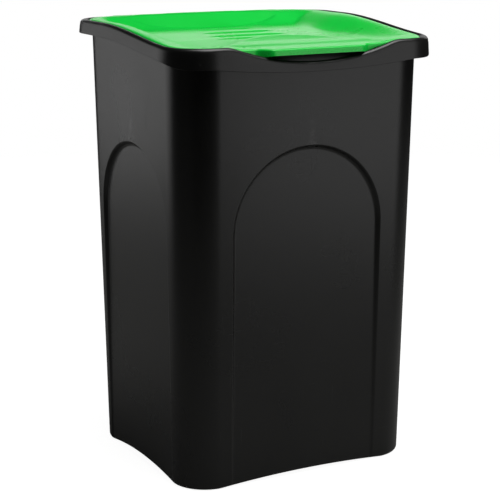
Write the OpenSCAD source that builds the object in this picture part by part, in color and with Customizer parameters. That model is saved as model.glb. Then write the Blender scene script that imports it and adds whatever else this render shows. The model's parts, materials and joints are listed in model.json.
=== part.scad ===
// Hinged-lid waste bin: tapered bucket, lift-off rim frame and a lid on two pins.
// Origin at the middle of the footprint on the ground, front towards -Y, +Z up, millimetres.

/* [Bucket] */
// Half width of the bucket at the ground
foot_half_x = 162.5; // [140:0.5:190]
// Half depth of the bucket at the ground
foot_half_y = 138.5; // [120:0.5:165]
// How much wider each side gets up to the rim height
draft_x = 8.7; // [2:0.1:16]
// How much deeper front and back get up to the rim height
draft_y = 12.5; // [2:0.1:16]
// Corner radius at the ground
foot_corner = 46; // [34:1:60]
// Wall thickness of the bucket
bucket_wall = 2; // [1.6:0.1:3]
// Height of the floor's underside over the ground
floor_lift = 10; // [9:0.5:25]
// Width of the foot ring that stands on the ground
foot_ring = 10; // [8:0.5:12]
// Radius of the bottom edge
foot_round = 5; // [2:0.5:7]
// Outward lip round the bucket's mouth
mouth_lip = 3.2; // [2:0.1:3.6]

/* [Sunken arches] */
// Half width of the arch on front and back
arch_half_front = 102; // [60:1:112]
// Top of the arch on front and back
arch_top_front = 420; // [250:1:470]
// Half width of the arch on the sides
arch_half_side = 92; // [50:1:95]
// Top of the arch on the sides
arch_top_side = 416; // [250:1:470]
// Depth of the sunken arches near their tops
arch_depth = 6; // [3:0.5:9]
// Depth of the sunken arches at the ground
arch_depth_foot = 1; // [0.5:0.5:3]
// Rise of the bottom edge between the feet, front and back
foot_rise_front = 4.5; // [2:0.5:7]
// Rise of the bottom edge between the feet, on the sides
foot_rise_side = 7.5; // [2:0.5:8.5]
// Half span of the raised bottom edge, front and back
foot_span_front = 118; // [80:1:120]
// Half span of the raised bottom edge, on the sides
foot_span_side = 94; // [70:1:100]

/* [Rim frame] */
// Height of the rim at the back
rim_h = 561; // [480:1:680]
// Drop of the rim from back to front
wave_drop = 16; // [8:1:30]
// Overhang of the rim past the bucket wall
rim_overhang = 13.6; // [12:0.1:18]
// Height of the skirt under the rim
skirt_h = 17.5; // [17:0.5:26]
// Extra skirt height along the front
skirt_extra = 7; // [4:0.5:12]
// Sag of the skirt's lower edge in the middle of the front
skirt_sag = 8; // [0:0.5:10]
// Width of the rounded bead on the rim
bead_w = 10.5; // [9:0.1:12]
// Wall thickness of the rim frame
frame_wall = 2; // [1.6:0.1:2.4]
// Depth of the lid's seat under the bead
seat_depth = 13; // [12.8:0.1:15]
// Width of the ledge under the lid
ledge_w = 14; // [13:0.5:22]
// Width of the finger scoop in the front
scoop_w = 226; // [140:1:240]
// Depth of the finger scoop
scoop_d = 20.5; // [10:0.5:22]

/* [Lid] */
// Gap round the lid
lid_gap = 1.2; // [1:0.1:2]
// Thickness of the lid
lid_wall = 2.2; // [1.8:0.1:2.4]
// Depth of the lid's dished field below the back edge
field_drop = 16.5; // [6:0.5:22]
// Half width of the handle tab
tab_half = 60; // [30:1:75]
// How far the tab reaches past the lid's edge
tab_reach = 13.5; // [8:0.5:16]
// Height of the hump behind the front dish
hump_h = 7; // [2:0.5:9]
// Half width of the two oval dishes
dish_half = 100; // [60:1:120]
// Rise of the grip ribs
rib_rise = 1.3; // [0.6:0.1:2]

/* [Hinge] */
// Radius of the rolled back edge of the lid, about the pins
roll_r = 5.6; // [5.4:0.1:5.8]
// Distance of each pin from the middle
hinge_x = 112; // [60:1:114]
// Diameter of the pins
pin_d = 3.4; // [2.6:0.1:3.8]
// Width of the lid's lug on each pin
lug_w = 12; // [8:0.5:16]
// Width of each ear of the frame
ear_w = 5; // [3:0.5:6]

/* [Hidden] */
$fn = 48;

corner_steps = 6;
front_steps = 16;
side_steps = 12;
rear_steps = 6;
slide_gap = 0.3;
pin_gap_frame = 0.03;
pin_gap_lid = 0.05;
side_play = 0.5;

// sizes of the bucket at the rim, of the frame and of the lid
top_half_x = foot_half_x + draft_x;
top_half_y = foot_half_y + draft_y;
top_corner = foot_corner + 4;
frame_x = top_half_x + rim_overhang;
frame_y = top_half_y + rim_overhang;
frame_corner = top_corner + 4;
lid_x = frame_x - bead_w - lid_gap;
lid_y = frame_y - bead_w - lid_gap;
lid_corner = frame_corner - bead_w - lid_gap;
tongue = bead_w + lid_gap - 0.4;
hinge_y = lid_y + tongue - roll_r;
hinge_z = rim_h - roll_r;
core_x = frame_x - frame_corner;
front_z = rim_h - wave_drop;
field_z = rim_h - field_drop;
scoop_r = (scoop_w * scoop_w / 4 + scoop_d * scoop_d) / (2 * scoop_d);

// stations round a rounded rectangle: place on the core and outward normal
function stretch(a, b, n, dir) =
    [for (i = [0:n - 1]) let (t = i / n) [a.x + (b.x - a.x) * t, a.y + (b.y - a.y) * t, cos(dir), sin(dir)]];
function corner(c, start) =
    [for (i = [0:corner_steps - 1]) let (d = start + 90 * i / corner_steps) [c.x, c.y, cos(d), sin(d)]];
// shares of the straight back edge where the rim's gap and the lid's tongue for it begin and end
gap_start = 0.97;
tongue_start = 0.95;
tongue_full = 0.93;
stations = concat(
    stretch([-1, -1], [1, -1], front_steps, -90), corner([1, -1], -90),
    stretch([1, -1], [1, 1], side_steps, 0), corner([1, 1], 0),
    [for (a = [1, gap_start, tongue_start]) [a, 1, 0, 1]],
    stretch([tongue_full, 1], [-tongue_full, 1], rear_steps, 90),
    [for (a = [tongue_full, tongue_start, gap_start]) [-a, 1, 0, 1]], corner([-1, 1], 90),
    stretch([-1, 1], [-1, -1], side_steps, 180), corner([-1, -1], 180));
function spot(s, hx, hy, r) = [s[0] * (hx - r) + s[2] * r, s[1] * (hy - r) + s[3] * r];

function ease(t) = let (c = min(1, max(0, t))) c * c * (3 - 2 * c);
function soft_min(a, b, k) = min(a, b) - pow(max(0, k - abs(a - b)), 2) / (4 * k);

// the rim falls from back to front, and a scoop is cut into its front
function wave(y) = rim_h - wave_drop * ease((60 - y) / 210);
function scoop(x) = front_z - scoop_d + scoop_r - sqrt(scoop_r * scoop_r - x * x);
function back_gap(x, y) = y < lid_y - lid_corner ? 0
    : (2 * roll_r + 1) * min(1, max(0, (core_x - abs(x)) / (core_x * (1 - gap_start))));
function rim_top(x, y) = y < -100 && abs(x) < 150 ? soft_min(wave(y), scoop(x), 3)
    : wave(y) - back_gap(x, y) - 0.8 * ease((y - 100) / 50);
function seat(x, y) = y > 0 ? wave(y) - seat_depth : min(wave(y) - seat_depth, rim_top(x, y) - 5);
function skirt_low(x, y) = min(rim_top(x, y) - 8, wave(y) - skirt_h - skirt_extra * ease((-110 - y) / 45)
    - (y < -110 ? skirt_sag * max(0, 1 - pow(x / 138, 2)) : 0));
// the bucket's mouth stays just under the frame, and lower still behind the finger scoop
function mouth_z(x, y) = seat(x, y) - frame_wall - slide_gap
    - (y < 0 ? 1.4 * ease((-100 - y) / 20) * ease((scoop_w / 2 + 25 - abs(x)) / 20) : 0);

// closed surface through a stack of rings, from the lower middle outwards, up and back in
module ring_stack(rings, loop = false) {
    n = len(rings[0]);
    m = len(rings);
    walls = [for (k = [0:m - (loop ? 1 : 2)]) for (i = [0:n - 1])
        let (a = k * n, b = ((k + 1) % m) * n, j = (i + 1) % n)
        each [[a + i, b + i, b + j], [a + i, b + j, a + j]]];
    caps = loop ? [] : [[for (i = [0:n - 1]) i], [for (i = [n - 1:-1:0]) (m - 1) * n + i]];
    polyhedron(points = [for (r = rings) each r], faces = concat(walls, caps), convexity = 10);
}

// ---------- bucket ----------
function grow(z) = z / rim_h;
function bucket_spot(s, inset, z) = let (g = grow(z))
    spot(s, foot_half_x + draft_x * g - inset, foot_half_y + draft_y * g - inset, foot_corner + 4 * g - inset);
function bucket_ring(inset, z) = [for (s = stations) let (p = bucket_spot(s, inset, z)) [p.x, p.y, z]];
function mouth_ring(inset, down) = [for (s = stations)
    let (q = bucket_spot(s, inset, rim_h - seat_depth), z = mouth_z(q.x, q.y) - down, p = bucket_spot(s, inset, z))
    [p.x, p.y, z]];

module tapered_core(inset_foot, inset_top) {
    ring_stack([bucket_ring(inset_foot, -1), bucket_ring(inset_top, arch_top_front + 40)]);
}

module arch(half, top, more) {
    translate([0, top - half]) circle(r = half + more, $fn = 96);
    translate([-half - more, -2]) square([2 * (half + more), top - half + 2]);
}

module arches(more) {
    rotate([90, 0, 0]) linear_extrude(height = 4 * foot_half_y, center = true)
        arch(arch_half_front, arch_top_front, more);
    rotate([90, 0, 90]) linear_extrude(height = 4 * foot_half_x, center = true)
        arch(arch_half_side, arch_top_side, more);
}

// a flat round cutter that lifts the bottom edge by rise over twice the span
module edge_arch(span, rise) {
    r = (span * span + rise * rise) / (2 * rise);
    translate([0, rise - r, 0])
        cylinder(r = r, h = 4 * foot_half_x, center = true, $fn = 400);
}

module bucket_shell() {
    floor_top = floor_lift + bucket_wall;
    ring_stack([
        bucket_ring(foot_corner - 12, floor_lift), bucket_ring(foot_ring + 2, floor_lift),
        bucket_ring(foot_ring, 0), bucket_ring(foot_round, 0), bucket_ring(0.3 * foot_round, 0.3 * foot_round),
        bucket_ring(0, foot_round), mouth_ring(0, 2), mouth_ring(-mouth_lip, 2), mouth_ring(-mouth_lip, 0),
        mouth_ring(bucket_wall, 0), bucket_ring(bucket_wall, floor_top + 8),
        bucket_ring(bucket_wall + 6, floor_top), bucket_ring(foot_corner - 12, floor_top)]);
}

// the moulding is one smooth skin, so it is taken as one mesh at its own size
module bucket() {
    color([0.07, 0.07, 0.075]) resize([0, 0, 0]) difference() {
        union() {
            bucket_shell();
            intersection() {
                arches(bucket_wall);
                difference() {
                    tapered_core(0.2, 0.2);
                    tapered_core(arch_depth_foot + bucket_wall, arch_depth + bucket_wall);
                }
                translate([-foot_half_x * 2, -foot_half_y * 2, floor_lift])
                    cube([foot_half_x * 4, foot_half_y * 4, rim_h]);
            }
        }
        difference() {
            arches(0);
            tapered_core(arch_depth_foot, arch_depth);
        }
        rotate([90, 0, 0]) edge_arch(foot_span_front, foot_rise_front);
        rotate([90, 0, 90]) edge_arch(foot_span_side, foot_rise_side);
    }
}

// ---------- rim frame ----------
// each ring of the frame: offset from its outer face, which height it follows, and how far above that
// "inner" and "under" are the bead's inner foot, which stays above the seat where the rim dips at the back
step_least = 0.2;
function frame_height(kind, x, y, up) = up + (kind == "top" ? rim_top(x, y)
    : kind == "inner" ? max(rim_top(x, y), seat(x, y) + step_least - up)
    : kind == "under" ? max(rim_top(x, y), seat(x, y) - frame_wall + step_least - up)
    : kind == "skirt" ? skirt_low(x, y) : kind == "seat" ? seat(x, y) : wave(y) - seat_depth);
function frame_ring(u, kind, up) = [for (s = stations)
    let (p = spot(s, frame_x + u, frame_y + u, frame_corner + u))
    [p.x, p.y, frame_height(kind, p.x, p.y, up)]];

function collar_ring(inset, kind, up) = [for (s = stations)
    let (p = spot(s, top_half_x - inset, top_half_y - inset, top_corner - inset))
    [p.x, p.y, frame_height(kind, p.x, p.y, up)]];

module frame_ring_body() {
    ledge_in = -bead_w - ledge_w;
    collar = bucket_wall + 2;
    ledge_out = 1.1 - rim_overhang - collar;
    ring_stack([
        frame_ring(0, "skirt", 0), frame_ring(-1.5, "top", -5.5), frame_ring(-2.4, "top", -2.4),
        frame_ring(-4.4, "top", -0.4), frame_ring(-6.2, "top", 0), frame_ring(2 - bead_w, "top", -0.6),
        frame_ring(0.5 - bead_w, "inner", -2.3), frame_ring(-bead_w, "inner", -4.6), frame_ring(-bead_w, "seat", 0),
        frame_ring(-bead_w - 2.5, "seat", 0), frame_ring(ledge_out, "ledge", 0), frame_ring(ledge_in, "ledge", 0),
        frame_ring(ledge_in, "ledge", -frame_wall), collar_ring(collar + frame_wall, "ledge", -frame_wall),
        collar_ring(collar + frame_wall, "seat", -12), collar_ring(collar, "seat", -12),
        collar_ring(collar, "ledge", -frame_wall), frame_ring(-bead_w - 3.5, "seat", -frame_wall),
        frame_ring(frame_wall - bead_w, "seat", -frame_wall), frame_ring(frame_wall - bead_w, "under", -4.6),
        frame_ring(-6.2, "top", -frame_wall - 0.4), frame_ring(-1.7 - frame_wall, "top", -4.6),
        frame_ring(-frame_wall - 0.2, "skirt", 0)], loop = true);
}

module across(x0, x1, r) {
    translate([x0, hinge_y, hinge_z]) rotate([0, 90, 0]) cylinder(r = r, h = x1 - x0);
}

// two ears on each side carry the pin, with the lid's lug between them
ear_r = roll_r - lid_wall - slide_gap;
pin_inner = hinge_x - lug_w / 2 - side_play - ear_w;
pin_outer = hinge_x + lug_w / 2 + side_play + ear_w;

module ears(side) {
    foot_z = rim_top(hinge_x, hinge_y) - frame_wall / 2;
    for (x = [pin_inner, pin_outer - ear_w]) {
        x0 = side > 0 ? x : -x - ear_w;
        across(x0, x0 + ear_w, ear_r);
        translate([x0, hinge_y - ear_r + 0.5, foot_z])
            cube([ear_w, ear_r + 0.5, hinge_z - foot_z]);
    }
}

module rim_frame() {
    color([0.06, 0.06, 0.065]) difference() {
        union() {
            frame_ring_body();
            ears(1);
            ears(-1);
        }
        across(pin_inner - 1, pin_outer + 1, pin_d / 2 + pin_gap_frame);
        across(-pin_outer - 1, -pin_inner + 1, pin_d / 2 + pin_gap_frame);
    }
}

// ---------- lid ----------
function edge_in(x, y) = let (qx = abs(x) - lid_x + lid_corner, qy = abs(y) - lid_y + lid_corner)
    lid_corner - norm([max(qx, 0), max(qy, 0)]) - min(max(qx, qy), 0);
function near_front(x, y) = ease((-y - lid_y + 40) / 30) * ease((scoop_w / 2 + 10 - abs(x)) / 35);
function border_z(x, y) = wave(y) - 0.5 + 0.5 * ease(y / lid_y) - 3.2 * near_front(x, y)
    + 1.8 * max(0, 1 - pow(x / 150, 2)) * ease((hinge_y - 4 - y) / 12) * ease((y - 60) / 60);
function field(y) = field_z - 3.8 * (1 - ease((y + 20) / 80));
function basin(x, y) = let (e = edge_in(x, y), f = field(y)) f + (border_z(x, y) - f) * (1 - ease((e - 6) / 56));

// rear dish: a steep wall that rises to the back edge
function rear_foot(x) = field_z + 9 * pow(x / dish_half, 4);
function rear_wall(x, y) = rear_foot(x) + 0.52 * max(0, y - 108 - 16 * pow(x / dish_half, 2));

// front dish: a hump with a curved crest, then a hollow down to the front lip
function crest_y(x) = -130 + 62 * (1 - pow(x / dish_half, 2));
function hump(x, y) = abs(x) >= dish_half ? 0
    : let (c = crest_y(x), t = min(1, (c - y) / max(1, c + 133)))
    hump_h * (1 - pow(x / dish_half, 2)) * (y > c ? 1 - ease((y - c) / 42) : 1 - t - 0.6 * t * (1 - t));

function lid_z(x, y) = min(basin(x, y), rear_wall(x, y)) + hump(x, y);

// a point of the lid's outline at an inset, with the tongue that carries the back edge over the hinge
function lid_spot(s, inset) = spot(s, lid_x - inset, lid_y - inset, lid_corner - inset)
    + [0, s[3] == 1 && abs(s[0]) < (tongue_start + tongue_full) / 2 ? tongue : 0];
function edge_round(y) = 3 + (roll_r - 3) * ease((y - 85) / 30);
function lid_ring(share, down) = [for (s = stations)
    let (r = edge_round(s[1] * lid_y), p = share == 1 ? lid_spot(s, r)
        : spot(s, lid_x - r, lid_y - r, lid_corner - r) * share)
    [p.x, p.y, lid_z(p.x, p.y) - down]];
function round_ring(angle) = [for (s = stations)
    let (r = edge_round(s[1] * lid_y), p = lid_spot(s, r * (1 - cos(angle))), q = lid_spot(s, r))
    [p.x, p.y, lid_z(q.x, q.y) - r * (1 - sin(angle))]];
function return_z(x, y) = y > lid_y - 0.5 ? hinge_z - 0.6
    : wave(y) - seat_depth + slide_gap + (seat_depth - 8) * near_front(x, y);
function return_ring(inset) = [for (s = stations)
    let (p = lid_spot(s, inset), q = lid_spot(s, 0))
    [p.x, p.y, return_z(q.x, q.y)]];
function inner_ring(inset) = [for (s = stations)
    let (p = lid_spot(s, inset), q = lid_spot(s, edge_round(s[1] * lid_y)))
    [p.x, p.y, lid_z(q.x, q.y) - lid_wall - (q.y > 100 ? 1.2 : 0)]];

shares = [0.1, 0.26, 0.4, 0.5, 0.6, 0.7, 0.78, 0.85, 0.91, 0.96, 1];

module lid_shell() {
    last = len(shares) - 1;
    ring_stack(concat(
        [for (i = [0:last]) lid_ring(shares[i], lid_wall)],
        [inner_ring(lid_wall), return_ring(lid_wall), return_ring(0)],
        [for (a = [0, 30, 60]) round_ring(a)],
        [for (i = [last:-1:0]) lid_ring(shares[i], 0)]));
}

module tab() {
    front = -lid_y - tab_reach;
    top = lid_z(0, -lid_y + 4);
    rotate([90, 0, 90]) translate([0, 0, -tab_half]) linear_extrude(height = 2 * tab_half)
        polygon([[-lid_y + 6, top], [-lid_y, top], [front + 2, top - 0.6], [front, top - 2.4], [front, top - 8],
            [front + lid_wall, top - 8], [front + lid_wall, top - 3], [-lid_y + 6, top - lid_wall]]);
}

module rib(y, half) {
    r = rib_rise + lid_wall / 2;
    translate([-half, y, lid_z(0, y) + rib_rise - r]) rotate([0, 90, 0])
        cylinder(r = r, h = 2 * half, $fn = 24);
}

module lug(side) {
    x0 = side * hinge_x - lug_w / 2;
    across(x0, x0 + lug_w, roll_r - 1);
    translate([x0, hinge_y - 16, hinge_z + 1])
        cube([lug_w, 15, roll_r - 2.6]);
}

// room for the ears under the rolled back edge
module ear_pocket(side) {
    width = pin_outer - pin_inner + 2;
    translate([side * hinge_x - width / 2, hinge_y - 5, hinge_z - 12])
        cube([width, 30, 12 + roll_r - lid_wall + 0.2]);
}

module lid_panel() {
    resize([0, 0, 0]) difference() {
        union() {
            lid_shell();
            tab();
            rib(69, 43);
            rib(35, 53);
            rib(9, 58);
            rib(-18, 62);
        }
        ear_pocket(1);
        ear_pocket(-1);
    }
}

module lid() {
    color([0.05, 0.8, 0.15]) difference() {
        union() {
            lid_panel();
            lug(1);
            lug(-1);
        }
        across(pin_inner, pin_outer, pin_d / 2 + pin_gap_lid);
        across(-pin_outer, -pin_inner, pin_d / 2 + pin_gap_lid);
    }
}

module hinge_pin(x0) {
    color([0.07, 0.07, 0.07]) across(x0, x0 + pin_outer - pin_inner, pin_d / 2);
}

module hinge_pin_left() {
    hinge_pin(-pin_outer);
}

module hinge_pin_right() {
    hinge_pin(pin_inner);
}

bucket();
rim_frame();
lid();
hinge_pin_left();
hinge_pin_right();
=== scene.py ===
import json
import math

import bmesh
import bpy
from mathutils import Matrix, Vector


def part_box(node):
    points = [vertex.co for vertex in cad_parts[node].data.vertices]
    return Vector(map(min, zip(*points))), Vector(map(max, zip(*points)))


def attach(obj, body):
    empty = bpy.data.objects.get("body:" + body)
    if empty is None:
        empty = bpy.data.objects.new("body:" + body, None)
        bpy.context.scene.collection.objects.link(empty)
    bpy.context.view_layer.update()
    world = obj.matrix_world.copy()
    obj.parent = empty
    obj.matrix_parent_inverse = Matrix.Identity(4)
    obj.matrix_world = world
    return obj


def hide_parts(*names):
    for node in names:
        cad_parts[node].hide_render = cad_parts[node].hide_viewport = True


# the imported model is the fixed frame; everything below is in metres
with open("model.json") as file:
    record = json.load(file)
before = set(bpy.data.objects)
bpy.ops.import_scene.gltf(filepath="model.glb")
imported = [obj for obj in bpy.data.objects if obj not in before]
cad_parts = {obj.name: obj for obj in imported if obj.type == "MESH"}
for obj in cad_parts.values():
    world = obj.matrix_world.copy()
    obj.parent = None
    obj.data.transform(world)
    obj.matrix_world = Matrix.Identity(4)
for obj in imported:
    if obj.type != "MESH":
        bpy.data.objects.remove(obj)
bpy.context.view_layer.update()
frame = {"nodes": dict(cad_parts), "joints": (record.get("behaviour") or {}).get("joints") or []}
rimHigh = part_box("rim_frame")[1]
lidLow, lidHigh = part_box("lid")
lidHinge = next(j for j in frame["joints"] if j["name"] == "lid_hinge")
hingeY, hingeZ = lidHinge["pos_m"][1], lidHinge["pos_m"][2]
print("frame loaded:", len(frame["nodes"]), "nodes")


# ---- small tools ----
def ease(t):
    t = min(1.0, max(0.0, t))
    return t * t * (3 - 2 * t)


def softMin(a, b, blend):
    return min(a, b) - max(0.0, blend - abs(a - b)) ** 2 / (4 * blend)


def evenCuts(low, high, count):
    return [low + (high - low) * i / count for i in range(count + 1)]


def deselectAll():
    bpy.ops.object.select_all(action="DESELECT")


def makeActive(obj):
    deselectAll()
    obj.select_set(True)
    bpy.context.view_layer.objects.active = obj


# a station is a place on the core rectangle and the outward normal there
def stationsRound(frontCuts, sideCuts, backCuts, cornerSteps):
    stations = []

    def addCorner(x, y, start):
        for i in range(cornerSteps):
            angle = math.radians(start + 90 * i / cornerSteps)
            stations.append((x, y, math.cos(angle), math.sin(angle)))

    stations.extend((x, -1, 0, -1) for x in frontCuts[:-1])
    addCorner(1, -1, -90)
    stations.extend((1, y, 1, 0) for y in sideCuts[:-1])
    addCorner(1, 1, 0)
    stations.extend((x, 1, 0, 1) for x in backCuts[:0:-1])
    addCorner(-1, 1, 90)
    stations.extend((-1, y, -1, 0) for y in sideCuts[:0:-1])
    addCorner(-1, -1, 180)
    return stations


def spot(station, halfX, halfY, radius):
    x, y, nx, ny = station
    return x * (halfX - radius) + nx * radius, y * (halfY - radius) + ny * radius


# extrudes a ring of vertices through a list of rings, then closes the ends or the loop
def ringStack(name, rings, loop=False, capped=True):
    deselectAll()
    bpy.ops.mesh.primitive_circle_add(vertices=len(rings[0]), radius=0.1, fill_type="NOTHING")
    obj = bpy.context.object
    obj.name = name
    stationOf = obj.data.attributes.new("station", "INT", "POINT")
    for i, item in enumerate(stationOf.data):
        item.value = i
    bpy.ops.object.mode_set(mode="EDIT")
    bpy.ops.mesh.select_mode(type="VERT")
    bpy.ops.mesh.select_all(action="SELECT")
    for k, ring in enumerate(rings + rings[:1] if loop else rings):
        if k:
            bpy.ops.mesh.extrude_edges_move()
        mesh = bmesh.from_edit_mesh(obj.data)
        layer = mesh.verts.layers.int["station"]
        for vert in mesh.verts:
            if vert.select:
                vert.co = ring[vert[layer]]
        bmesh.update_edit_mesh(obj.data)
    bpy.ops.mesh.select_all(action="SELECT")
    bpy.ops.mesh.remove_doubles(threshold=0.000001)
    if capped and not loop:
        bpy.ops.mesh.fill_holes(sides=0)
    bpy.ops.mesh.select_all(action="SELECT")
    bpy.ops.mesh.normals_make_consistent(inside=False)
    bpy.ops.object.mode_set(mode="OBJECT")
    obj.data.attributes.remove(obj.data.attributes["station"])
    return obj


def joinAll(first, others):
    makeActive(first)
    for other in others:
        other.select_set(True)
    bpy.ops.object.join()
    return first


# joins or cuts with a closed tool, which is removed afterwards
def carve(obj, tool, operation):
    makeActive(obj)
    cut = obj.modifiers.new("cut", "BOOLEAN")
    cut.operation = operation
    cut.solver = "EXACT"
    cut.object = tool
    bpy.ops.object.modifier_apply(modifier=cut.name)
    bpy.data.objects.remove(tool)


def smoothByAngle(obj, degrees, weighted=True):
    makeActive(obj)
    bpy.ops.object.shade_smooth_by_angle(angle=math.radians(degrees))
    if weighted:
        even = obj.modifiers.new("evenNormals", "WEIGHTED_NORMAL")
        even.keep_sharp = True
        bpy.ops.object.modifier_apply(modifier=even.name)


# a short bar along X whose lower half may be pulled down into a foot
def crossBar(name, x0, x1, radius, footZ=None, segments=40):
    deselectAll()
    bpy.ops.mesh.primitive_cylinder_add(
        vertices=segments, radius=radius, depth=x1 - x0,
        location=((x0 + x1) / 2, hingeY, hingeZ), rotation=(0, math.pi / 2, 0))
    bar = bpy.context.object
    bar.name = name
    bpy.ops.object.transform_apply(location=True, rotation=True, scale=True)
    if footZ is not None:
        bpy.ops.object.mode_set(mode="EDIT")
        bpy.ops.mesh.select_mode(type="VERT")
        bpy.ops.mesh.select_all(action="DESELECT")
        mesh = bmesh.from_edit_mesh(bar.data)
        for vert in mesh.verts:
            if vert.co.z < hingeZ - radius * 0.05:
                vert.co.z = footZ
        bmesh.update_edit_mesh(bar.data)
        bpy.ops.object.mode_set(mode="OBJECT")
    return bar


# ---- the lines that rim, bucket and lid share ----
rim = {
    "drop": 0.016,          # how far the rim falls from back to front
    "waveStart": 0.060,
    "waveLength": 0.210,
    "corner": 0.054,
    "bead": 0.0105,
    "wall": 0.002,
    "seatDepth": 0.013,
    "ledge": 0.014,
    "skirt": 0.0175,
    "skirtExtra": 0.007,
    "skirtSag": 0.008,
    "sagStart": 0.110,      # the skirt grows in front of this line
    "sagLength": 0.045,
    "sagHalf": 0.138,
    "scoopHalf": 0.113,
    "scoopDepth": 0.0205,
    "scoopZone": (0.150, -0.100),    # half width and rear end of the part that the scoop can reach
    "scoopBlend": 0.003,
    "rearDip": 0.0008,
    "gapBlend": 0.03,       # share of the back edge over which the bead drops for the lid
    "collarInset": 0.004,
    "collarDepth": 0.012,
    "mouthGap": 0.0003,     # left between the frame and the bucket's mouth
    "mouthDip": 0.0014,     # and the mouth is lower still behind the scoop
}
rimHalfX, rimHalfY, rimTopZ = rimHigh.x, rimHigh.y, rimHigh.z
coreX = rimHalfX - rim["corner"]
frontZ = rimTopZ - rim["drop"]
scoopRadius = (rim["scoopHalf"] ** 2 + rim["scoopDepth"] ** 2) / (2 * rim["scoopDepth"])
lidHalfX = lidHigh.x
lidHalfY = rimHalfY - (rimHalfX - lidHalfX)
lidCorner = rim["corner"] - (rimHalfX - lidHalfX)
rollRadius = lidHigh.y - hingeY


def wave(y):
    return rimTopZ - rim["drop"] * ease((rim["waveStart"] - y) / rim["waveLength"])


def scoop(x):
    inside = max(0.0, scoopRadius ** 2 - x * x)
    return frontZ - rim["scoopDepth"] + scoopRadius - math.sqrt(inside)


# the rear bead is lowered between its corners, where the lid rolls over it
def backGap(x, y):
    if y < lidHalfY - lidCorner:
        return 0.0
    return (2 * rollRadius + 0.001) * min(1.0, max(0.0, (coreX - abs(x)) / (coreX * rim["gapBlend"])))


def rimTop(x, y):
    zoneHalf, zoneEnd = rim["scoopZone"]
    if y < zoneEnd and abs(x) < zoneHalf:
        return softMin(wave(y), scoop(x), rim["scoopBlend"])
    return wave(y) - backGap(x, y) - rim["rearDip"] * ease((y - 0.100) / 0.050)


# every level takes x and y, so that a ring can follow any of them
def ledge(x, y):
    return wave(y) - rim["seatDepth"]


def seat(x, y):
    level = ledge(x, y)
    return level if y > 0 else min(level, rimTop(x, y) - 0.005)


def skirtLow(x, y):
    sag = rim["skirtSag"] * max(0.0, 1 - (x / rim["sagHalf"]) ** 2) if y < -rim["sagStart"] else 0.0
    extra = rim["skirtExtra"] * ease((-rim["sagStart"] - y) / rim["sagLength"])
    return min(rimTop(x, y) - 0.008, wave(y) - rim["skirt"] - extra - sag)


def mouth(x, y):
    dip = 0.0
    if y < 0:
        dip = rim["mouthDip"] * ease((-0.100 - y) / 0.020) * ease((rim["sagHalf"] - abs(x)) / 0.020)
    return seat(x, y) - rim["wall"] - rim["mouthGap"] - dip


# ---- bucket ----
bucket = {
    "footHalfX": 0.1625,
    "footHalfY": 0.1385,
    "draftX": 0.0087,
    "draftY": 0.0125,
    "footCorner": 0.046,
    "cornerGrowth": 0.004,
    "wall": 0.002,
    "floor": 0.010,
    "footRound": 0.005,
    "lip": 0.0032,
    "frontLift": (0.0045, 0.118),    # rise of the bottom edge and its half span
    "sideLift": (0.0075, 0.094),
    "bulge": 0.0022,                 # the flat walls swell a little between the corners
    "bulgeTop": 0.53,
    "wallHeights": (0.030, 0.075, 0.130, 0.190, 0.250, 0.310, 0.370, 0.430, 0.475, 0.505),
    "archDepth": 0.006,
    "archDepthFoot": 0.001,
    "archFade": 0.46,                # the panels are at full depth from this height
    "frontArch": (0.102, 0.420),     # half width and top
    "sideArch": (0.092, 0.416),
    "archSteps": 64,
    "cornerSteps": 22,
    "panelCutHeights": (0.014, 0.022, 0.045, 0.10, 0.16, 0.22, 0.28, 0.34, 0.40),
    "panelCutPlaces": (-0.085, -0.045, 0.0, 0.045, 0.085),
}
# how far the sunken panel's edge stands out from the arch line, at each depth
archEdge = [
    (0.0120, -0.0080), (0.0036, -0.0004), (0.0026, 0.0001), (0.0017, 0.0007), (0.0010, 0.0015),
    (0.0004, 0.0025), (-0.0002, 0.0036), (-0.0009, 0.0046), (-0.0018, 0.0054), (-0.0030, 0.0059),
    (-0.0046, 0.0060)]


def bucketHalf(z):
    grow = z / rimTopZ
    halfX = bucket["footHalfX"] + bucket["draftX"] * grow
    halfY = bucket["footHalfY"] + bucket["draftY"] * grow
    return halfX, halfY, bucket["footCorner"] + bucket["cornerGrowth"] * grow


def bucketSpot(station, inset, z):
    halfX, halfY, corner = bucketHalf(z)
    return spot(station, halfX - inset, halfY - inset, corner - inset)


# the bottom edge rises between the feet
def footLift(station, x, y):
    rise, span = bucket["frontLift"] if abs(station[3]) == 1 else bucket["sideLift"]
    along = x if abs(station[3]) == 1 else y
    onFlat = abs(station[3]) == 1 or abs(station[2]) == 1
    return rise * max(0.0, 1 - (along / span) ** 2) if onFlat else 0.0


def swell(share, z):
    climb = min(1.0, max(0.0, z / bucket["bulgeTop"]))
    return bucket["bulge"] * max(0.0, 1 - share ** 2) * math.sin(math.pi * climb)


def bucketRing(stations, inset, z, lifted=0.0, swollen=False):
    ring = []
    for station in stations:
        x, y = bucketSpot(station, inset, z)
        if swollen and abs(station[3]) == 1:
            y += station[3] * swell(station[0], z)
        elif swollen and abs(station[2]) == 1:
            x += station[2] * swell(station[1], z)
        ring.append(Vector((x, y, z + lifted * footLift(station, x, y))))
    return ring


def mouthRing(stations, inset, down):
    ring = []
    for station in stations:
        x, y = bucketSpot(station, inset, rimTopZ - rim["seatDepth"])
        z = mouth(x, y) - down
        x, y = bucketSpot(station, inset, z)
        ring.append(Vector((x, y, z)))
    return ring


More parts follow.
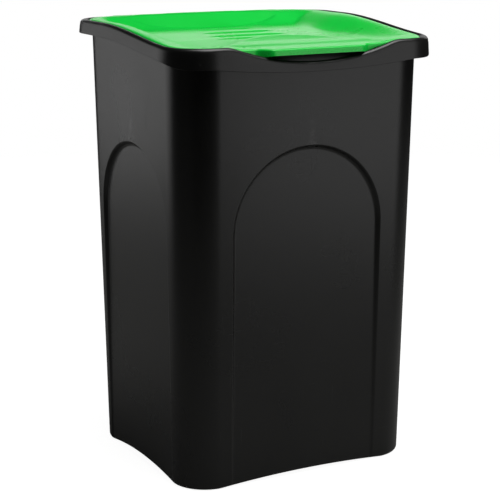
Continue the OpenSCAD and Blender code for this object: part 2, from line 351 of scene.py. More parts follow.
# a closed tool in the shape of a sunken arch: side is "front", "back", "left" or "right"
def archTool(side, grow, deeper):
    half, top = bucket["frontArch"] if side in ("front", "back") else bucket["sideArch"]
    steps = bucket["archSteps"]
    outline = []
    for i in range(steps + 1):
        angle = math.pi * i / steps
        outline.append((math.cos(angle), math.sin(angle), half * math.cos(angle), top - half))
    outline += [(-1, 0, -half, z) for z in (0.25, 0.16, 0.08, -0.02)]
    outline += [(1, 0, half, z) for z in (-0.02, 0.08, 0.16, 0.25)]
    rings = []
    for stand, depth in archEdge:
        ring = []
        stand += grow
        sunk = ease(depth / bucket["archDepth"])
        for nx, nz, x, z in outline:
            across = x + nx * stand
            height = z + nz * (half + stand if nz > 0 else 0.0)
            halfX, halfY, corner = bucketHalf(height)
            # the panel is flat and fades towards the ground; its edge starts from the swollen wall
            climb = min(1.0, max(0.0, height / bucket["archFade"]))
            panelDepth = bucket["archDepthFoot"] + (bucket["archDepth"] - bucket["archDepthFoot"]) * climb
            core = (halfX if side in ("front", "back") else halfY) - corner
            out = swell(across / core, height) * (1 - sunk)
            down = depth if depth < 0 else depth * panelDepth / bucket["archDepth"]
            halfX, halfY = halfX + out, halfY + out
            down += deeper * sunk
            if side == "front":
                ring.append(Vector((across, -halfY + down, height)))
            elif side == "back":
                ring.append(Vector((across, halfY - down, height)))
            elif side == "left":
                ring.append(Vector((-halfX + down, across, height)))
            else:
                ring.append(Vector((halfX - down, across, height)))
        rings.append(ring)
    return ringStack("archTool", rings)


def archTools(grow, deeper):
    tools = [archTool(side, grow, deeper) for side in ("front", "back", "left", "right")]
    return joinAll(tools[0], tools[1:])


def makeBucket():
    flat = evenCuts(-1, 1, 26)
    stations = stationsRound(flat, evenCuts(-1, 1, 22), flat, bucket["cornerSteps"])
    lip, footRound = bucket["lip"], bucket["footRound"]
    outer = [bucketRing(stations, 0.034, bucket["floor"]), bucketRing(stations, 0.013, bucket["floor"]),
             bucketRing(stations, 0.012, bucket["floor"] - 0.001), bucketRing(stations, 0.0095, 0.0, 1.0)]
    for i in range(7):
        angle = math.pi / 2 * i / 6
        inset = footRound * (1 - math.sin(angle))
        outer.append(bucketRing(stations, inset, footRound * (1 - math.cos(angle)), 1.0))
    for z in bucket["wallHeights"]:
        outer.append(bucketRing(stations, 0, z, swollen=True))
    for inset, down in ((0, 0.0042), (-0.0003, 0.0030), (-0.0010, 0.0022), (-lip + 0.0004, 0.0020),
                        (-lip, 0.0016), (-lip, 0.0004), (-lip + 0.0004, 0), (0.003, 0)):
        outer.append(mouthRing(stations, inset, down))
    body = ringStack("bucketBody", outer)
    carve(body, archTools(0.0, 0.0), "DIFFERENCE")

    # the cavity leaves an even wall, so the sunken panels show inside as raised ones
    wall, floorTop = bucket["wall"], bucket["floor"] + bucket["wall"]
    inner = [bucketRing(stations, 0.034, floorTop), bucketRing(stations, 0.0125, floorTop),
             bucketRing(stations, 0.0095, floorTop + 0.001), bucketRing(stations, 0.008, floorTop + 0.003),
             bucketRing(stations, wall, floorTop + 0.014), bucketRing(stations, wall, rimTopZ + 0.02)]
    cavity = ringStack("cavity", inner)
    carve(cavity, archTools(wall, wall), "DIFFERENCE")
    carve(body, cavity, "DIFFERENCE")
    # cuts across the big flat panels keep the wear at the edges
    makeActive(body)
    bpy.ops.object.mode_set(mode="EDIT")
    cuts = [((0, 0, z), (0, 0, 1)) for z in bucket["panelCutHeights"]]
    for place in bucket["panelCutPlaces"]:
        cuts += [((place, 0, 0), (1, 0, 0)), ((0, place, 0), (0, 1, 0))]
    for place, normal in cuts:
        bpy.ops.mesh.select_all(action="SELECT")
        bpy.ops.mesh.bisect(plane_co=place, plane_no=normal)
    bpy.ops.object.mode_set(mode="OBJECT")
    smoothByAngle(body, 32)
    return body


bucketBody = makeBucket()
print("bucket:", len(bucketBody.data.polygons), "faces")


# ---- rim frame ----
rimDetail = {
    "cornerSteps": 20,
    "frontCuts": 72,
    "sideCuts": 46,
    "crown": 0.0062,        # from the outside to the highest line of the bead
    "earWidth": 0.005,
    "earRadius": 0.0031,
    "boreRadius": 0.00173,
}
pinLow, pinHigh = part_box("hinge_pin_right")


# least keeps the bead's inner foot above the seat where the rim dips at the back
def rimRing(stations, out, level, up, least=-1.0):
    ring = []
    for station in stations:
        x, y = spot(station, rimHalfX + out, rimHalfY + out, rim["corner"] + out)
        ring.append(Vector((x, y, max(level(x, y) + up, seat(x, y) + least))))
    return ring


def collarRing(stations, inset, level, up):
    halfX, halfY, corner = bucketHalf(rimTopZ)
    ring = []
    for station in stations:
        x, y = spot(station, halfX - inset, halfY - inset, corner - inset)
        ring.append(Vector((x, y, level(x, y) + up)))
    return ring


def makeRimFrame():
    gapEnds = [0.93, 0.95, 0.97]
    backCuts = [-1] + [-a for a in gapEnds[::-1]] + evenCuts(-0.93, 0.93, 34)[1:-1] + gapEnds + [1]
    frontCuts, sideCuts = evenCuts(-1, 1, rimDetail["frontCuts"]), evenCuts(-1, 1, rimDetail["sideCuts"])
    stations = stationsRound(frontCuts, sideCuts, backCuts, rimDetail["cornerSteps"])
    bead, wall, collar = rim["bead"], rim["wall"], rim["collarInset"]
    ledgeEnd, crown = bead + rim["ledge"], rimDetail["crown"]
    rings = [
        rimRing(stations, -0.0006, skirtLow, 0), rimRing(stations, -0.0001, skirtLow, 0.0003),
        rimRing(stations, 0, skirtLow, 0.0009), rimRing(stations, -0.0009, rimTop, -0.0074)]
    for i in range(8):
        angle = math.pi / 2 * i / 7
        out = -crown + 0.0048 * math.cos(angle)
        rings.append(rimRing(stations, out, rimTop, -0.0055 + 0.0055 * math.sin(angle)))
    for i in range(1, 7):
        angle = math.pi / 2 * i / 6
        out = -crown - (bead - crown) * math.sin(angle)
        rings.append(rimRing(stations, out, rimTop, -0.0046 + 0.0046 * math.cos(angle), 0.0008 * i / 6))
    rings += [
        rimRing(stations, -bead, seat, 0.0008), rimRing(stations, -bead - 0.0003, seat, 0.0002),
        rimRing(stations, -bead - 0.0010, seat, 0), rimRing(stations, -bead - 0.0025, seat, 0),
        rimRing(stations, -bead - 0.0060, ledge, 0), rimRing(stations, 0.0006 - ledgeEnd, ledge, 0),
        rimRing(stations, -ledgeEnd, ledge, -0.0006), rimRing(stations, -ledgeEnd, ledge, -wall),
        collarRing(stations, collar + wall, ledge, -wall),
        collarRing(stations, collar + wall, seat, -rim["collarDepth"]),
        collarRing(stations, collar, seat, -rim["collarDepth"]), collarRing(stations, collar, ledge, -wall),
        rimRing(stations, -bead - 0.0035, seat, -wall), rimRing(stations, wall - bead, seat, -wall),
        rimRing(stations, wall - bead, rimTop, -0.0046, 0.0002 - wall),
        rimRing(stations, -crown, rimTop, -wall - 0.0004),
        rimRing(stations, -0.0037, rimTop, -0.0046), rimRing(stations, -wall - 0.0002, skirtLow, 0)]
    ring = ringStack("rimFrame", rings, loop=True)

    # two ears on each side hold the pin
    earWidth, earRadius = rimDetail["earWidth"], rimDetail["earRadius"]
    footZ = rimTop(pinLow.x, hingeY) - wall / 2
    ears = []
    for x in (pinLow.x, pinHigh.x - earWidth, -pinHigh.x, -pinLow.x - earWidth):
        ears.append(crossBar("ear", x, x + earWidth, earRadius, footZ))
    carve(ring, joinAll(ears[0], ears[1:]), "UNION")
    for side in (-1, 1):
        low, high = sorted((side * (pinLow.x - 0.001), side * (pinHigh.x + 0.001)))
        carve(ring, crossBar("bore", low, high, rimDetail["boreRadius"]), "DIFFERENCE")
    smoothByAngle(ring, 38)
    return ring


rimFrame = makeRimFrame()
print("rim frame:", len(rimFrame.data.polygons), "faces")


# ---- lid ----
lid = {
    "wall": 0.0022,
    "fieldDrop": 0.0165,
    "dishHalf": 0.100,
    "humpHeight": 0.007,
    "tongue": rimHalfX - lidHalfX - 0.0004,
    "tongueStart": 0.95,    # share of the back edge where the tongue begins
    "tongueBlend": 0.02,
    "frontRound": 0.003,
    "tabHalf": 0.060,
    "tabEnd": 0.018,        # length over which the tab runs back into the edge
    "tabFront": lidLow.y,
    "tabDepth": 0.008,
    "ribs": [(0.069, 0.043), (0.035, 0.053), (0.009, 0.058), (-0.018, 0.062)],   # y, half length
    "ribRise": 0.0014,
    "ribHalf": 0.0030,
    "lugWidth": 0.012,
    "boreRadius": 0.00175,
    "columns": 126,
    "rows": 104,
    "bandSteps": 18,        # rings between the middle grid and the rolled edge
    "rollSteps": 6,
    "cornerSteps": 16,
}
fieldZ = rimTopZ - lid["fieldDrop"]
lidCoreX, lidCoreY = lidHalfX - lidCorner, lidHalfY - lidCorner


def edgeIn(x, y):
    qx, qy = abs(x) - lidCoreX, abs(y) - lidCoreY
    return lidCorner - math.hypot(max(qx, 0), max(qy, 0)) - min(max(qx, qy), 0)


def nearFront(x, y):
    return ease((-y - lidHalfY + 0.040) / 0.030) * ease((0.123 - abs(x)) / 0.035)


def borderZ(x, y):
    rear = 0.0018 * max(0.0, 1 - (x / 0.150) ** 2)
    rear *= ease((hingeY - 0.004 - y) / 0.012) * ease((y - 0.060) / 0.060)
    return wave(y) - 0.0005 + 0.0005 * ease(y / lidHalfY) - 0.0032 * nearFront(x, y) + rear


def basin(x, y):
    field = fieldZ - 0.0038 * (1 - ease((y + 0.020) / 0.080))
    return field + (borderZ(x, y) - field) * (1 - ease((edgeIn(x, y) - 0.006) / 0.056))


def rearWall(x, y):
    share = x / lid["dishHalf"]
    foot = fieldZ + 0.009 * share ** 4
    return foot + 0.52 * max(0.0, y - 0.108 - 0.016 * share ** 2)


# a hump with a curved crest, then the hollow of the front dish
def hump(x, y):
    share = 1 - (x / lid["dishHalf"]) ** 2
    if share <= 0:
        return 0.0
    crest = -0.130 + 0.062 * share
    if y > crest:
        return lid["humpHeight"] * share * (1 - ease((y - crest) / 0.042))
    t = min(1.0, (crest - y) / max(0.001, crest + 0.133))
    return lid["humpHeight"] * share * (1 - t - 0.6 * t * (1 - t))


# grip ribs, widest in the middle and running out to points
def ribs(x, y):
    for place, half in lid["ribs"]:
        share = 1 - (x / half) ** 2
        if share <= 0:
            continue
        across = (y - place) / (lid["ribHalf"] * math.sqrt(share))
        if abs(across) < 1:
            return lid["ribRise"] * min(1.0, 1.6 * share) * (1 - across ** 2)
    return 0.0


def lidZ(x, y):
    return min(basin(x, y), rearWall(x, y)) + hump(x, y) + ribs(x, y)


def edgeRound(y):
    return lid["frontRound"] + (rollRadius - lid["frontRound"]) * ease((y - 0.085) / 0.030)


def lidSpot(station, inset, carried=1.0):
    x, y = spot(station, lidHalfX - inset, lidHalfY - inset, lidCorner - inset)
    if station[3] == 1:
        share = (lid["tongueStart"] - abs(station[0])) / lid["tongueBlend"]
        y += carried * lid["tongue"] * min(1.0, max(0.0, share))
    return x, y


def lidRows():
    rows = set(evenCuts(-lidCoreY, lidCoreY, lid["rows"]))
    for place, _ in lid["ribs"]:
        near = [place + step * 0.00062 for step in range(-5, 6)]
        rows = {y for y in rows if abs(y - place) > 0.0041}
        rows.update(near)
    return sorted(rows)


def lidRings(stations):
    rings = []
    bandSteps, rollSteps = lid["bandSteps"], lid["rollSteps"]
    for k in range(bandSteps + 1):
        ring = []
        for station in stations:
            r = edgeRound(station[1] * lidHalfY)
            inset = r + (lidCorner - r) * (1 - k / bandSteps)
            carried = ease((k - bandSteps + 5) / 5)
            x, y = lidSpot(station, inset, carried)
            ring.append(Vector((x, y, lidZ(x, y))))
        rings.append(ring)
    # the rolled edge; the tab takes its place in the middle of the front
    tabTop = lidZ(0, -lidHalfY + 0.004)
    tabFront, tabDepth = lid["tabFront"], lid["tabDepth"]
    tabLine = [
        (-lidHalfY, tabTop), (tabFront + 0.0050, tabTop - 0.0003), (tabFront + 0.0019, tabTop - 0.0005),
        (tabFront + 0.0008, tabTop - 0.0009), (tabFront + 0.0002, tabTop - 0.0017),
        (tabFront, tabTop - 0.0028), (tabFront, tabTop - tabDepth)]
    for k in range(rollSteps + 1):
        ring = []
        for station in stations:
            r = edgeRound(station[1] * lidHalfY)
            topX, topY = lidSpot(station, r)
            if k < rollSteps:
                angle = math.pi / 2 * (rollSteps - 1 - k) / rollSteps
                x, y = lidSpot(station, r * (1 - math.cos(angle)))
                z = lidZ(topX, topY) - r * (1 - math.sin(angle))
            else:
                x, y = lidSpot(station, 0)
                z = wave(y) - rim["seatDepth"] + 0.0003 + 0.005 * nearFront(x, y)
                if station[3] == 1 or y > lidHalfY - 0.0005:
                    z = hingeZ - 0.0006
                elif station[3] == -1:
                    z = min(z, rimTop(x, y) - 0.001)
            if station[3] == -1:
                tabShare = 1 - ease((abs(x) - lid["tabHalf"]) / lid["tabEnd"])
                y += (tabLine[k][0] - y) * tabShare
                z += (tabLine[k][1] - z) * tabShare
            ring.append(Vector((x, y, z)))
        rings.append(ring)
    return rings


def makeLid():
    # the middle is a grid, whose rows are closer at the ribs; rings carry on from its edge
    columns = [lidCoreX * share for share in evenCuts(-1, 1, lid["columns"])]
    tabColumn = min(range(len(columns)), key=lambda i: abs(columns[i] - lid["tabHalf"]))
    columns[tabColumn] = lid["tabHalf"]
    columns[len(columns) - 1 - tabColumn] = -lid["tabHalf"]
    rows = lidRows()
    deselectAll()
    bpy.ops.mesh.primitive_grid_add(x_subdivisions=len(columns) - 1, y_subdivisions=len(rows) - 1, size=1)
    panel = bpy.context.object
    panel.name = "hingedLid"
    for vert in panel.data.vertices:
        x = columns[round((vert.co.x + 0.5) * (len(columns) - 1))]
        y = rows[round((vert.co.y + 0.5) * (len(rows) - 1))]
        vert.co = (x, y, lidZ(x, y))
    across = [x / lidCoreX for x in columns]
    stations = stationsRound(across, [y / lidCoreY for y in rows], across, lid["cornerSteps"])
    border = ringStack("lidBorder", lidRings(stations), capped=False)
    joinAll(panel, [border])
    bpy.ops.object.mode_set(mode="EDIT")
    bpy.ops.mesh.select_all(action="SELECT")
    bpy.ops.mesh.remove_doubles(threshold=0.00002)
    bpy.ops.mesh.normals_make_consistent(inside=False)
    bpy.ops.object.mode_set(mode="OBJECT")
    top = max(panel.data.polygons, key=lambda face: face.center.z if abs(face.center.x) < 0.05 else -1)
    if top.normal.z < 0:
        panel.data.flip_normals()
    thicken = panel.modifiers.new("thicken", "SOLIDIFY")
    thicken.thickness = lid["wall"]
    thicken.offset = -1
    thicken.use_even_offset = True
    makeActive(panel)
    bpy.ops.object.modifier_apply(modifier=thicken.name)

    # a lug on each side turns on the pin
    for side in (-1, 1):
        middle = side * (pinLow.x + pinHigh.x) / 2
        low, high = middle - lid["lugWidth"] / 2, middle + lid["lugWidth"] / 2
        lug = crossBar("lug", low, high, rollRadius - 0.001)
        deselectAll()
        bpy.ops.mesh.primitive_cube_add(size=1, location=(middle, hingeY - 0.0085, hingeZ + 0.0025))
        web = bpy.context.object
        web.scale = (lid["lugWidth"], 0.015, 0.0030)
        bpy.ops.object.transform_apply(location=True, rotation=True, scale=True)
        carve(lug, web, "UNION")
        carve(panel, lug, "UNION")
        low, high = sorted((side * pinLow.x, side * pinHigh.x))
        carve(panel, crossBar("bore", low, high, lid["boreRadius"]), "DIFFERENCE")
    smoothByAngle(panel, 40, weighted=False)
    return panel


hingedLid = makeLid()
print("lid:", len(hingedLid.data.polygons), "faces")


# ---- finishes ----
def addNode(tree, kind, place, **values):
    node = tree.nodes.new(kind)
    node.location = place
    for name, value in values.items():
        if hasattr(node, name):
            setattr(node, name, value)
        else:
            node.inputs[name.replace("_", " ")].default_value = value
    return node


def newGroup(name, inputs, outputs):
    tree = bpy.data.node_groups.new(name, "ShaderNodeTree")
    for label, kind, value in inputs:
        socket = tree.interface.new_socket(name=label, in_out="INPUT", socket_type=kind)
        if value is not None:
            socket.default_value = value
    for label, kind in outputs:
        tree.interface.new_socket(name=label, in_out="OUTPUT", socket_type=kind)
    start = addNode(tree, "NodeGroupInput", (-900, 0))
    end = addNode(tree, "NodeGroupOutput", (700, 0))
    return tree, start, end


def makeGrainGroup():
    # fine spark-eroded grain of a mould and slow cloudiness of the plastic
    tree, start, end = newGroup(
        "mouldedGrain",
        [("Vector", "NodeSocketVector", None), ("Grain Scale", "NodeSocketFloat", 1400.0),
         ("Cloud Scale", "NodeSocketFloat", 7.0)],
        [("Height", "NodeSocketFloat"), ("Cloud", "NodeSocketFloat")])
    fine = addNode(tree, "ShaderNodeTexNoise", (-600, 200), Detail=3.0, Roughness=0.6)
    pits = addNode(tree, "ShaderNodeTexVoronoi", (-600, -60), feature="SMOOTH_F1")
    cloud = addNode(tree, "ShaderNodeTexNoise", (-600, -340), Detail=4.0, Roughness=0.55, Distortion=0.4)
    both = addNode(tree, "ShaderNodeMath", (-200, 120), operation="MULTIPLY_ADD")
    both.inputs[1].default_value = 0.55
    link = tree.links.new
    for tex, scale in ((fine, "Grain Scale"), (pits, "Grain Scale"), (cloud, "Cloud Scale")):
        link(start.outputs["Vector"], tex.inputs["Vector"])
        link(start.outputs[scale], tex.inputs["Scale"])
    link(pits.outputs["Distance"], both.inputs[0])
    link(fine.outputs["Fac"], both.inputs[2])
    link(both.outputs[0], end.inputs["Height"])
    link(cloud.outputs["Fac"], end.inputs["Cloud"])
    return tree


def makeWearGroup():
    # rubbed outer edges, broken up so that the wear isn't an even line
    tree, start, end = newGroup(
        "edgeWear",
        [("Vector", "NodeSocketVector", None), ("Reach", "NodeSocketFloat", 0.53)],
        [("Mask", "NodeSocketFloat")])
    shape = addNode(tree, "ShaderNodeNewGeometry", (-700, 160))
    edge = addNode(tree, "ShaderNodeMapRange", (-400, 160), interpolation_type="SMOOTHSTEP")
    edge.inputs["From Min"].default_value = 0.52
    patches = addNode(tree, "ShaderNodeTexNoise", (-700, -160), Scale=46.0, Detail=5.0, Roughness=0.65)
    broken = addNode(tree, "ShaderNodeMapRange", (-400, -160), interpolation_type="SMOOTHSTEP")
    broken.inputs["From Min"].default_value = 0.38
    broken.inputs["From Max"].default_value = 0.66
    both = addNode(tree, "ShaderNodeMath", (100, 0), operation="MULTIPLY")
    link = tree.links.new
    link(shape.outputs["Pointiness"], edge.inputs["Value"])
    link(start.outputs["Reach"], edge.inputs["From Max"])
    link(start.outputs["Vector"], patches.inputs["Vector"])
    link(patches.outputs["Fac"], broken.inputs["Value"])
    link(edge.outputs["Result"], both.inputs[0])
    link(broken.outputs["Result"], both.inputs[1])
    link(both.outputs[0], end.inputs["Mask"])
    return tree


def makeScuffGroup():
    # short fine scratches in two directions, gathered in patches
    tree, start, end = newGroup(
        "scuffMarks",
        [("Vector", "NodeSocketVector", None), ("Density", "NodeSocketFloat", 0.62)],
        [("Mask", "NodeSocketFloat")])
    link = tree.links.new
    marks = []
    directions = [((0.3, 0.2, 0.5), (520, 520, 26)), ((1.1, -0.5, 0.9), (34, 640, 640))]
    for row, (turn, stretch) in enumerate(directions):
        turned = addNode(tree, "ShaderNodeMapping", (-700, 260 - 300 * row))
        turned.inputs["Rotation"].default_value = turn
        turned.inputs["Scale"].default_value = stretch
        lines = addNode(tree, "ShaderNodeTexNoise", (-450, 260 - 300 * row), Scale=1.0, Detail=1.0)
        thin = addNode(tree, "ShaderNodeMapRange", (-200, 260 - 300 * row), interpolation_type="SMOOTHSTEP")
        thin.inputs["From Max"].default_value = 0.80
        link(start.outputs["Vector"], turned.inputs["Vector"])
        link(turned.outputs["Vector"], lines.inputs["Vector"])
        link(lines.outputs["Fac"], thin.inputs["Value"])
        link(start.outputs["Density"], thin.inputs["From Min"])
        marks.append(thin)
    most = addNode(tree, "ShaderNodeMath", (100, 100), operation="MAXIMUM")
    patches = addNode(tree, "ShaderNodeTexNoise", (-450, -400), Scale=11.0, Detail=2.0)
    gathered = addNode(tree, "ShaderNodeMapRange", (-200, -400), interpolation_type="SMOOTHSTEP")
    gathered.inputs["From Min"].default_value = 0.45
    gathered.inputs["From Max"].default_value = 0.68
    both = addNode(tree, "ShaderNodeMath", (300, 0), operation="MULTIPLY")
    link(marks[0].outputs["Result"], most.inputs[0])
    link(marks[1].outputs["Result"], most.inputs[1])
    link(start.outputs["Vector"], patches.inputs["Vector"])
    link(patches.outputs["Fac"], gathered.inputs["Value"])
    link(most.outputs[0], both.inputs[0])
    link(gathered.outputs["Result"], both.inputs[1])
    link(both.outputs[0], end.inputs["Mask"])
    return tree


mouldedGrain = makeGrainGroup()
edgeWear = makeWearGroup()
scuffMarks = makeScuffGroup()


def placeGroup(tree, group, place, **values):
    node = addNode(tree, "ShaderNodeGroup", place)
    node.node_tree = group
    for name, value in values.items():
        node.inputs[name.replace("_", " ")].default_value = value
    return node


def mouldedPlastic(name, finish):
    material = bpy.data.materials.new(name)
    material.use_nodes = True
    tree = material.node_tree
    link = tree.links.new
    shader = tree.nodes["Principled BSDF"]
    shader.inputs["IOR"].default_value = finish["ior"]
    coords = addNode(tree, "ShaderNodeTexCoord", (-1400, 0))
    grain = placeGroup(tree, mouldedGrain, (-1100, 300), Grain_Scale=finish["grainScale"],
                       Cloud_Scale=finish["cloudScale"])
    wear = placeGroup(tree, edgeWear, (-1100, 0), Reach=finish["wearReach"])
    scuffs = placeGroup(tree, scuffMarks, (-1100, -260), Density=finish["scuffDensity"])
    for group in (grain, wear, scuffs):
        link(coords.outputs["Object"], group.inputs["Vector"])

    # colour: cloudy base, then paler rubbed edges and scratches
    cloudy = addNode(tree, "ShaderNodeValToRGB", (-800, 400))
    cloudy.color_ramp.elements[0].position = 0.3
    cloudy.color_ramp.elements[0].color = (*finish["colourLow"], 1)
    cloudy.color_ramp.elements[1].position = 0.7
    cloudy.color_ramp.elements[1].color = (*finish["colourHigh"], 1)
    marked = addNode(tree, "ShaderNodeMath", (-800, 0), operation="MULTIPLY_ADD", use_clamp=True)
    marked.inputs[1].default_value = finish["scuffColour"]
    wearShare = addNode(tree, "ShaderNodeMath", (-950, 120), operation="MULTIPLY")
    wearShare.inputs[1].default_value = finish["wearColour"]
    colour = addNode(tree, "ShaderNodeMix", (-400, 300), data_type="RGBA")
    colour.inputs["B"].default_value = (*finish["colourWorn"], 1)
    link(grain.outputs["Cloud"], cloudy.inputs["Fac"])
    link(wear.outputs["Mask"], wearShare.inputs[0])
    link(scuffs.outputs["Mask"], marked.inputs[0])
    link(wearShare.outputs[0], marked.inputs[2])
    link(marked.outputs[0], colour.inputs["Factor"])
    link(cloudy.outputs["Color"], colour.inputs["A"])
    link(colour.outputs["Result"], shader.inputs["Base Color"])

    # gloss: cloudy too, smoother where hands rub the edges, duller in the scratches
    gloss = addNode(tree, "ShaderNodeMapRange", (-800, -300))
    gloss.inputs["To Min"].default_value = finish["roughness"] - finish["roughnessSwing"]
    gloss.inputs["To Max"].default_value = finish["roughness"] + finish["roughnessSwing"]
    rubbed = addNode(tree, "ShaderNodeMath", (-600, -300), operation="MULTIPLY_ADD")
    rubbed.inputs[1].default_value = -finish["wearPolish"]
    scratched = addNode(tree, "ShaderNodeMath", (-400, -300), operation="MULTIPLY_ADD", use_clamp=True)
    scratched.inputs[1].default_value = finish["scuffDull"]
    link(grain.outputs["Cloud"], gloss.inputs["Value"])
    link(wear.outputs["Mask"], rubbed.inputs[0])
    link(gloss.outputs["Result"], rubbed.inputs[2])
    link(scuffs.outputs["Mask"], scratched.inputs[0])
    link(rubbed.outputs[0], scratched.inputs[2])
    link(scratched.outputs[0], shader.inputs["Roughness"])

    # relief: the mould's grain, less the scratches
    relief = addNode(tree, "ShaderNodeMath", (-600, -560), operation="MULTIPLY_ADD")
    relief.inputs[1].default_value = -finish["scuffDepth"]
    bump = addNode(tree, "ShaderNodeBump", (-300, -560), Strength=finish["grainStrength"],
                   Distance=finish["grainDepth"])
    link(scuffs.outputs["Mask"], relief.inputs[0])
    link(grain.outputs["Height"], relief.inputs[2])
    link(relief.outputs[0], bump.inputs["Height"])
    link(bump.outputs["Normal"], shader.inputs["Normal"])
    return material


bucketFinish = {
    "colourLow": (0.0045, 0.0045, 0.0043), "colourHigh": (0.0075, 0.0075, 0.0071),
    "colourWorn": (0.060, 0.060, 0.057), "wearColour": 0.35, "scuffColour": 0.25,
    "roughness": 0.28, "roughnessSwing": 0.035, "ior": 1.49,
    "grainScale": 1300.0, "cloudScale": 6.0, "grainStrength": 0.30, "grainDepth": 0.00025,
    "wearReach": 0.60, "wearPolish": 0.08, "scuffDensity": 0.70, "scuffDull": 0.22, "scuffDepth": 0.8,
}
rimFinish = dict(bucketFinish, roughness=0.33, cloudScale=9.0, wearColour=0.45, grainScale=1500.0)
pinFinish = dict(bucketFinish, roughness=0.34, cloudScale=60.0, grainScale=2400.0, grainDepth=0.0001)
lidFinish = {
    "colourLow": (0.003, 0.62, 0.045), "colourHigh": (0.006, 0.71, 0.070),
    "colourWorn": (0.10, 0.80, 0.16), "wearColour": 0.30, "scuffColour": 0.35,
    "roughness": 0.28, "roughnessSwing": 0.03, "ior": 1.50,
    "grainScale": 1800.0, "cloudScale": 8.0, "grainStrength": 0.20, "grainDepth": 0.00015,
    "wearReach": 0.60, "wearPolish": 0.08, "scuffDensity": 0.70, "scuffDull": 0.22, "scuffDepth": 0.8,
}
blackBucket = mouldedPlastic("blackBucketPlastic", bucketFinish)
blackRim = mouldedPlastic("blackRimPlastic", rimFinish)
blackPin = mouldedPlastic("blackPinPlastic", pinFinish)
greenLid = mouldedPlastic("greenLidPlastic", lidFinish)


def finishPiece(obj, material, node, body):
    obj.data.materials.clear()
    obj.data.materials.append(material)
    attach(obj, body)
    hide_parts(node)


finishPiece(bucketBody, blackBucket, "bucket", "bucket")
finishPiece(rimFrame, blackRim, "rim_frame", "rim_frame")
finishPiece(hingedLid, greenLid, "lid", "lid")
for name in ("hinge_pin_left", "hinge_pin_right"):
    pin = frame["nodes"][name]
    for materialSlot in pin.material_slots:
        materialSlot.material = blackPin
print("finishes placed")


# ---- floor, lights and camera ----
studio = {
    "floorRadius": 2.4,
    "floorColour": (0.26, 0.26, 0.25),
    "floorGlow": 0.95,      # keeps the floor pale in the picture without lighting the bin
    "worldLight": 0.018,
    "target": (0.0, 0.0, 0.270),
    "azimuth": -28.7,
    "elevation": 12.75,
    "distance": 2.010,
    "lens": 110.6,
    "shift": (-0.0026, -0.0112),
}
# black card beside the camera, seen only in the gloss of the near corner
blackCard = {
    "away": 1.35,
    "width": 1.35,
    "height": 1.1,
}
# name: place, aim, size, power
lamps = {
    "topBox": ((0.3, -0.5, 2.2), (0.0, 0.0, 0.5), (1.5, 1.3), 38.0),
    "backBox": ((1.05, 1.95, 1.04), (0.0, 0.0, 0.60), (3.0, 0.34), 5.0),
    "rearLeftBox": ((-1.30, 1.55, 0.55), (0.0, 0.0, 0.30), (1.5, 1.1), 4.6),
    "frontRightBox": ((0.75, -1.10, 0.55), (0.0, 0.0, 0.42), (0.9, 1.05), 2.9),
}


def makeFloor():
    deselectAll()
    bpy.ops.mesh.primitive_circle_add(vertices=128, radius=studio["floorRadius"], fill_type="NGON",
                                      location=(0, 0, -0.0005))
    floor = bpy.context.object
    floor.name = "floor"
    material = bpy.data.materials.new("paleFloor")
    material.use_nodes = True
    tree = material.node_tree
    link = tree.links.new
    shader = tree.nodes["Principled BSDF"]
    shader.inputs["Roughness"].default_value = 0.8
    shader.inputs["Base Color"].default_value = (*studio["floorColour"], 1)
    path = addNode(tree, "ShaderNodeLightPath", (-300, 300))
    glow = addNode(tree, "ShaderNodeEmission", (0, -300), Strength=studio["floorGlow"])
    lit = addNode(tree, "ShaderNodeAddShader", (200, -200))
    mix = addNode(tree, "ShaderNodeMixShader", (400, 0))
    link(shader.outputs[0], lit.inputs[0])
    link(glow.outputs[0], lit.inputs[1])
    link(path.outputs["Is Camera Ray"], mix.inputs[0])
    link(shader.outputs[0], mix.inputs[1])
    link(lit.outputs[0], mix.inputs[2])
    link(mix.outputs[0], tree.nodes["Material Output"].inputs["Surface"])
    floor.data.materials.append(material)


def makeBlackCard():
    azimuth, away = math.radians(studio["azimuth"]), blackCard["away"]
    place = (math.sin(azimuth) * away, -math.cos(azimuth) * away, blackCard["height"] / 2)
    deselectAll()
    bpy.ops.mesh.primitive_plane_add(size=1, location=place, rotation=(math.pi / 2, 0, azimuth))
    card = bpy.context.object
    card.name = "blackCard"
    card.scale = (blackCard["width"], blackCard["height"], 1)
    bpy.ops.object.transform_apply(location=True, rotation=True, scale=True)
    material = bpy.data.materials.new("blackFelt")
    material.use_nodes = True
    shader = material.node_tree.nodes["Principled BSDF"]
    shader.inputs["Base Color"].default_value = (0.004, 0.004, 0.004, 1)
    shader.inputs["Roughness"].default_value = 1.0
    shader.inputs["Specular IOR Level"].default_value = 0.0
    card.data.materials.append(material)
    card.visible_camera = False


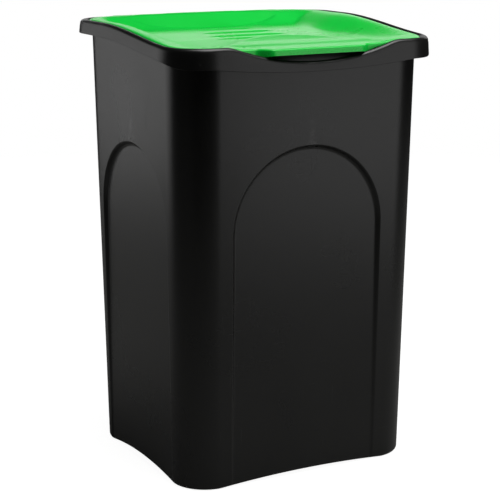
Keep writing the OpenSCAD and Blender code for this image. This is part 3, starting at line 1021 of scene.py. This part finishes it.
def makeWorld():
    world = bpy.data.worlds.new("studioWorld")
    bpy.context.scene.world = world
    world.use_nodes = True
    tree = world.node_tree
    tree.nodes.clear()
    path = addNode(tree, "ShaderNodeLightPath", (-400, 200))
    seen = addNode(tree, "ShaderNodeBackground", (-200, 0), Color=(1, 1, 1, 1))
    lit = addNode(tree, "ShaderNodeBackground", (-200, -200), Color=(1, 1, 1, 1),
                  Strength=studio["worldLight"])
    mix = addNode(tree, "ShaderNodeMixShader", (0, 0))
    end = addNode(tree, "ShaderNodeOutputWorld", (200, 0))
    tree.links.new(path.outputs["Is Camera Ray"], mix.inputs[0])
    tree.links.new(lit.outputs[0], mix.inputs[1])
    tree.links.new(seen.outputs[0], mix.inputs[2])
    tree.links.new(mix.outputs[0], end.inputs["Surface"])


def makeLamps():
    for name, (place, aim, size, power) in lamps.items():
        data = bpy.data.lights.new(name, "AREA")
        data.shape = "RECTANGLE"
        data.size, data.size_y = size
        data.energy = power
        lamp = bpy.data.objects.new(name, data)
        bpy.context.scene.collection.objects.link(lamp)
        lamp.location = place
        lamp.rotation_mode = "QUATERNION"
        lamp.rotation_quaternion = (Vector(aim) - Vector(place)).to_track_quat("-Z", "Y")
        lamp.visible_camera = False


def makeCamera():
    data = bpy.data.cameras.new("studioCamera")
    camera = bpy.data.objects.new("studioCamera", data)
    bpy.context.scene.collection.objects.link(camera)
    azimuth, elevation = math.radians(studio["azimuth"]), math.radians(studio["elevation"])
    back = Vector((math.sin(azimuth) * math.cos(elevation), -math.cos(azimuth) * math.cos(elevation),
                   math.sin(elevation)))
    camera.location = Vector(studio["target"]) + back * studio["distance"]
    camera.rotation_mode = "QUATERNION"
    camera.rotation_quaternion = (-back).to_track_quat("-Z", "Y")
    data.sensor_width = 36
    data.lens = studio["lens"]
    data.shift_x, data.shift_y = studio["shift"]
    data.clip_start, data.clip_end = 0.05, 50
    bpy.context.scene.camera = camera


makeFloor()
makeBlackCard()
makeWorld()
makeLamps()
makeCamera()
bpy.context.scene.view_settings.view_transform = "Standard"
print("studio ready")
